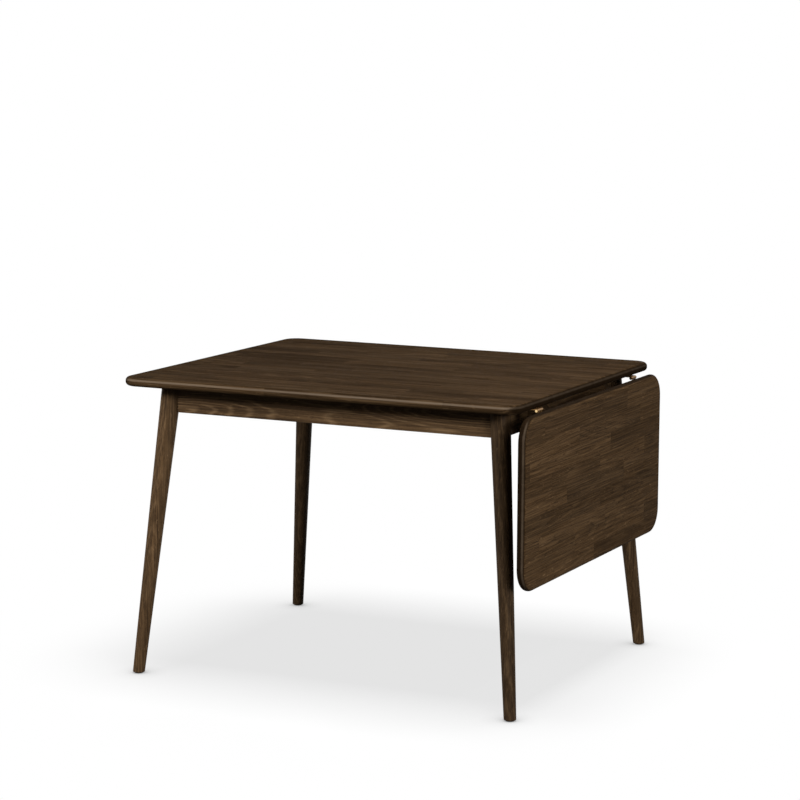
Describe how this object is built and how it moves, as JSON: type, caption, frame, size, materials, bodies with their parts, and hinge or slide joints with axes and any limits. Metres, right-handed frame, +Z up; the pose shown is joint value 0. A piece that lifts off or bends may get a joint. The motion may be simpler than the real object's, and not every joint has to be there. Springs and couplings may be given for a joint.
{
  "type": "drop leaf table",
  "caption": "Rectangular oak dining table on splayed tapered legs, with a hinged drop leaf at one end held up by swing arms under it.",
  "frame": {"origin": "on the floor, below the middle of the overall box with the leaf hanging", "axes": "+X along the table towards the leaf, +Y across the table to the rear, +Z up"},
  "size_m": [1.092, 0.9, 0.75],
  "materials": {
    "oak_board": "dark-stained oak, satin",
    "oak_frame": "dark-stained oak, satin",
    "brass": "satin, lightly aged",
    "steel": "zinc-plated",
    "rubber": "matt black",
    "nylon": "matt dark brown"
  },
  "bodies": {
    "table": {"apron_front": "oak_frame", "apron_rear": "oak_frame", "arm_block_front": "oak_frame", "arm_block_rear": "oak_frame", "arm_block_screws": "steel", "arm_bolt_front": "steel", "arm_bolt_rear": "steel", "arm_nuts": "steel", "arm_washers": "steel", "corner_block_front_leaf_end": "oak_frame", "corner_block_front_plain_end": "oak_frame", "corner_block_rear_leaf_end": "oak_frame", "corner_block_rear_plain_end": "oak_frame", "corner_block_screws": "steel", "end_rail_leaf_end": "oak_frame", "end_rail_plain_end": "oak_frame", "foot_glide_front_leaf_end": "nylon", "foot_glide_front_plain_end": "nylon", "foot_glide_rear_leaf_end": "nylon", "foot_glide_rear_plain_end": "nylon", "hinge_front_pin": "brass", "hinge_front_top_flap": "brass", "hinge_rear_pin": "brass", "hinge_rear_top_flap": "brass", "hinge_top_screws": "brass", "leg_front_leaf_end": "oak_frame", "leg_front_plain_end": "oak_frame", "leg_rear_leaf_end": "oak_frame", "leg_rear_plain_end": "oak_frame", "tabletop": "oak_board", "top_angle_screws": "steel", "top_angles": "steel"},
    "leaf": {"arm_catch_front": "oak_frame", "arm_catch_rear": "oak_frame", "catch_screws": "steel", "drop_leaf": "oak_board", "hinge_front_leaf_flap": "brass", "hinge_leaf_screws": "brass", "hinge_rear_leaf_flap": "brass", "leaf_buffer_front": "rubber", "leaf_buffer_rear": "rubber"},
    "swing_arm_front": {"swing_arm_front": "oak_frame"},
    "swing_arm_rear": {"swing_arm_rear": "oak_frame"}
  },
  "joints": [
    {"name": "leaf_fold", "type": "hinge", "parent": "table", "child": "leaf", "pos_m": [0.52, 0, 0.724], "axis": [0, -1, 0], "range_deg": [0, 90]},
    {"name": "arm_front_swing", "type": "hinge", "parent": "table", "child": "swing_arm_front", "pos_m": [0.48201, -0.226, 0.673], "axis": [0, -1, 0], "range_deg": [0, 105]},
    {"name": "arm_rear_swing", "type": "hinge", "parent": "table", "child": "swing_arm_rear", "pos_m": [0.48201, 0.226, 0.673], "axis": [0, -1, 0], "range_deg": [0, 105]}
  ],
  "couplings": [
    {"joint": "arm_front_swing", "follows": "leaf_fold", "ratio": 1.1667},
    {"joint": "arm_rear_swing", "follows": "leaf_fold", "ratio": 1.1667}
  ]
}
